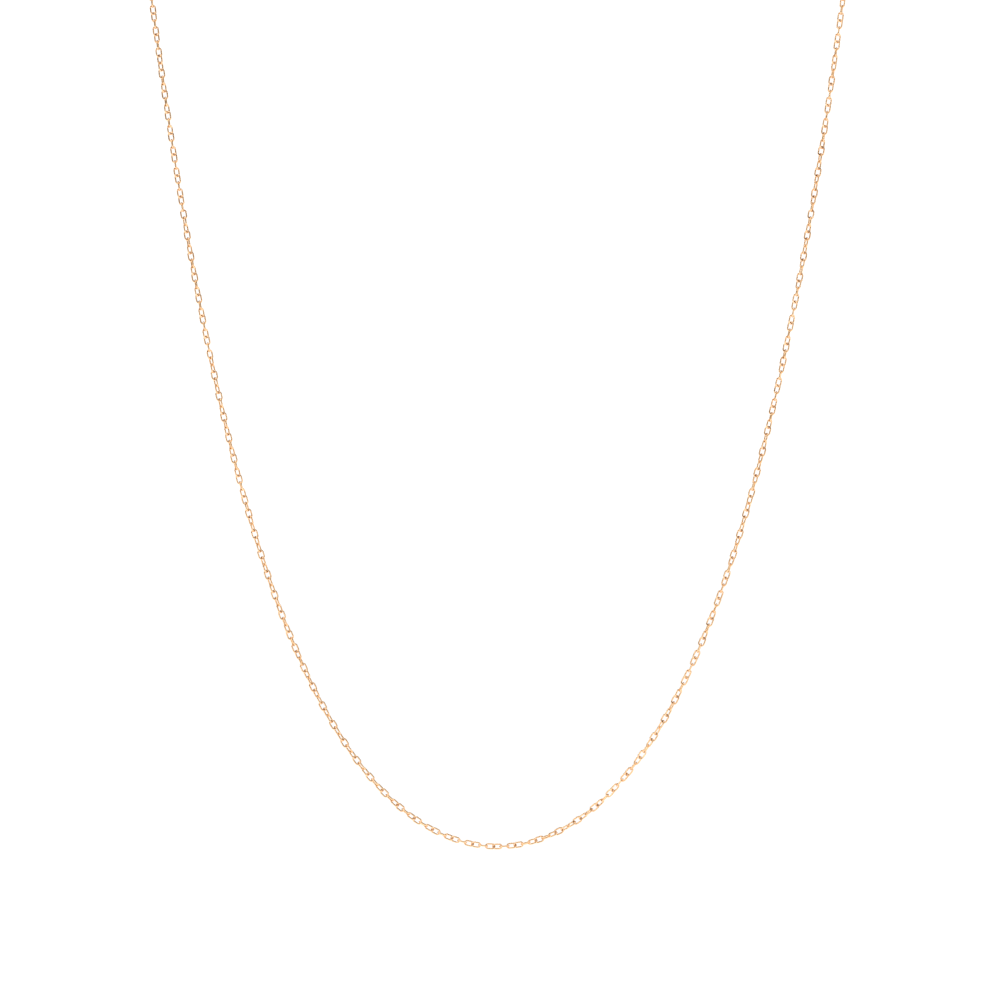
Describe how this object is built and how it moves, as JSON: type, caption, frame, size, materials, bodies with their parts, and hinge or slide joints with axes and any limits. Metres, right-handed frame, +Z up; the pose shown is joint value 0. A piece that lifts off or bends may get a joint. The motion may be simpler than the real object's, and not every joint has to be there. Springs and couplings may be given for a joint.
{
  "type": "chain necklace",
  "caption": "Fine rose-gold trace-chain necklace, hung over two pegs in a deep curve, with a bolt-ring clasp.",
  "frame": {"origin": "centre of the lowest link of the front drop, where a pendant would hang", "axes": "+Z up, +X to the right along the width of the drop, -Y towards the onlooker"},
  "size_m": [0.1138, 0.0034, 0.153],
  "materials": {
    "chain": "polished rose gold",
    "clasp": "polished rose gold",
    "ring": "polished rose gold",
    "spring": "drawn wire"
  },
  "bodies": {
    "peg_links": {"left_peg_links": "chain", "right_peg_links": "chain"},
    "left_top": {"left_chain_01": "chain", "left_chain_02": "chain", "left_chain_03": "chain"},
    "left_upper": {"left_chain_04": "chain", "left_chain_05": "chain", "left_chain_06": "chain"},
    "left_mid_upper": {"left_chain_07": "chain", "left_chain_08": "chain", "left_chain_09": "chain"},
    "left_middle": {"left_chain_10": "chain", "left_chain_11": "chain", "left_chain_12": "chain"},
    "left_lower": {"left_chain_13": "chain", "left_chain_14": "chain", "left_chain_15": "chain"},
    "left_bottom": {"left_chain_16": "chain", "left_chain_17": "chain", "left_chain_18": "chain", "left_chain_19": "chain", "left_chain_20": "chain", "left_chain_21": "chain", "centre_link": "chain"},
    "right_top": {"right_chain_01": "chain", "right_chain_02": "chain", "right_chain_03": "chain"},
    "right_upper": {"right_chain_04": "chain", "right_chain_05": "chain", "right_chain_06": "chain"},
    "right_mid_upper": {"right_chain_07": "chain", "right_chain_08": "chain", "right_chain_09": "chain"},
    "right_middle": {"right_chain_10": "chain", "right_chain_11": "chain", "right_chain_12": "chain"},
    "right_lower": {"right_chain_13": "chain", "right_chain_14": "chain", "right_chain_15": "chain"},
    "right_bottom": {"right_chain_16": "chain", "right_chain_17": "chain", "right_chain_18": "chain", "right_chain_19": "chain", "right_chain_20": "chain", "right_chain_21": "chain"},
    "back": {"left_back_chain_1": "chain", "left_back_chain_2": "chain", "left_back_chain_3": "chain", "right_back_chain_1": "chain", "right_back_chain_2": "chain", "right_back_chain_3": "chain", "clasp_tube": "clasp", "clasp_eyelet": "clasp", "clasp_jump_ring": "ring", "clasp_spring": "spring", "end_ring": "ring"},
    "bolt": {"clasp_bolt": "clasp", "clasp_thumb_knob": "clasp"}
  },
  "joints": [
    {"name": "left_top_bend", "type": "hinge", "parent": "peg_links", "child": "left_top", "pos_m": [-0.05625, 0, 0.14714], "axis": [1, 0, 0], "range_deg": [-25, 25]},
    {"name": "left_upper_bend", "type": "hinge", "parent": "left_top", "child": "left_upper", "pos_m": [-0.05321, 0, 0.12371], "axis": [1, 0, 0], "range_deg": [-25, 25]},
    {"name": "left_mid_upper_bend", "type": "hinge", "parent": "left_upper", "child": "left_mid_upper", "pos_m": [-0.04962, 0, 0.10036], "axis": [1, 0, 0], "range_deg": [-25, 25]},
    {"name": "left_middle_bend", "type": "hinge", "parent": "left_mid_upper", "child": "left_middle", "pos_m": [-0.04526, 0, 0.07714], "axis": [1, 0, 0], "range_deg": [-25, 25]},
    {"name": "left_lower_bend", "type": "hinge", "parent": "left_middle", "child": "left_lower", "pos_m": [-0.03971, 0, 0.05418], "axis": [1, 0, 0], "range_deg": [-25, 25]},
    {"name": "left_bottom_bend", "type": "hinge", "parent": "left_lower", "child": "left_bottom", "pos_m": [-0.03212, 0, 0.03183], "axis": [1, 0, 0], "range_deg": [-25, 25]},
    {"name": "right_top_bend", "type": "hinge", "parent": "peg_links", "child": "right_top", "pos_m": [0.05625, 0, 0.14714], "axis": [1, 0, 0], "range_deg": [-25, 25]},
    {"name": "right_upper_bend", "type": "hinge", "parent": "right_top", "child": "right_upper", "pos_m": [0.05321, 0, 0.12371], "axis": [1, 0, 0], "range_deg": [-25, 25]},
    {"name": "right_mid_upper_bend", "type": "hinge", "parent": "right_upper", "child": "right_mid_upper", "pos_m": [0.04962, 0, 0.10036], "axis": [1, 0, 0], "range_deg": [-25, 25]},
    {"name": "right_middle_bend", "type": "hinge", "parent": "right_mid_upper", "child": "right_middle", "pos_m": [0.04526, 0, 0.07714], "axis": [1, 0, 0], "range_deg": [-25, 25]},
    {"name": "right_lower_bend", "type": "hinge", "parent": "right_middle", "child": "right_lower", "pos_m": [0.03971, 0, 0.05418], "axis": [1, 0, 0], "range_deg": [-25, 25]},
    {"name": "right_bottom_bend", "type": "hinge", "parent": "right_lower", "child": "right_bottom", "pos_m": [0.03212, 0, 0.03183], "axis": [1, 0, 0], "range_deg": [-25, 25]},
    {"name": "back_swing", "type": "hinge", "parent": "peg_links", "child": "back", "pos_m": [0, 0, 0.15141], "axis": [1, 0, 0], "range_deg": [-25, 25]},
    {"name": "bolt_slide", "type": "hinge", "parent": "back", "child": "bolt", "pos_m": [0.00058, 0, 0.14376], "axis": [0, -1, 0], "range_deg": [0, 62], "stiffness_Nm_per_rad": 0.0004, "springref_deg": -28.65, "deforming": ["clasp_spring"]}
  ],
  "couplings": [
    {"joint": "right_top_bend", "follows": "left_top_bend", "ratio": 1},
    {"joint": "right_upper_bend", "follows": "left_upper_bend", "ratio": 1},
    {"joint": "right_mid_upper_bend", "follows": "left_mid_upper_bend", "ratio": 1},
    {"joint": "right_middle_bend", "follows": "left_middle_bend", "ratio": 1},
    {"joint": "right_lower_bend", "follows": "left_lower_bend", "ratio": 1},
    {"joint": "right_bottom_bend", "follows": "left_bottom_bend", "ratio": 1}
  ]
}
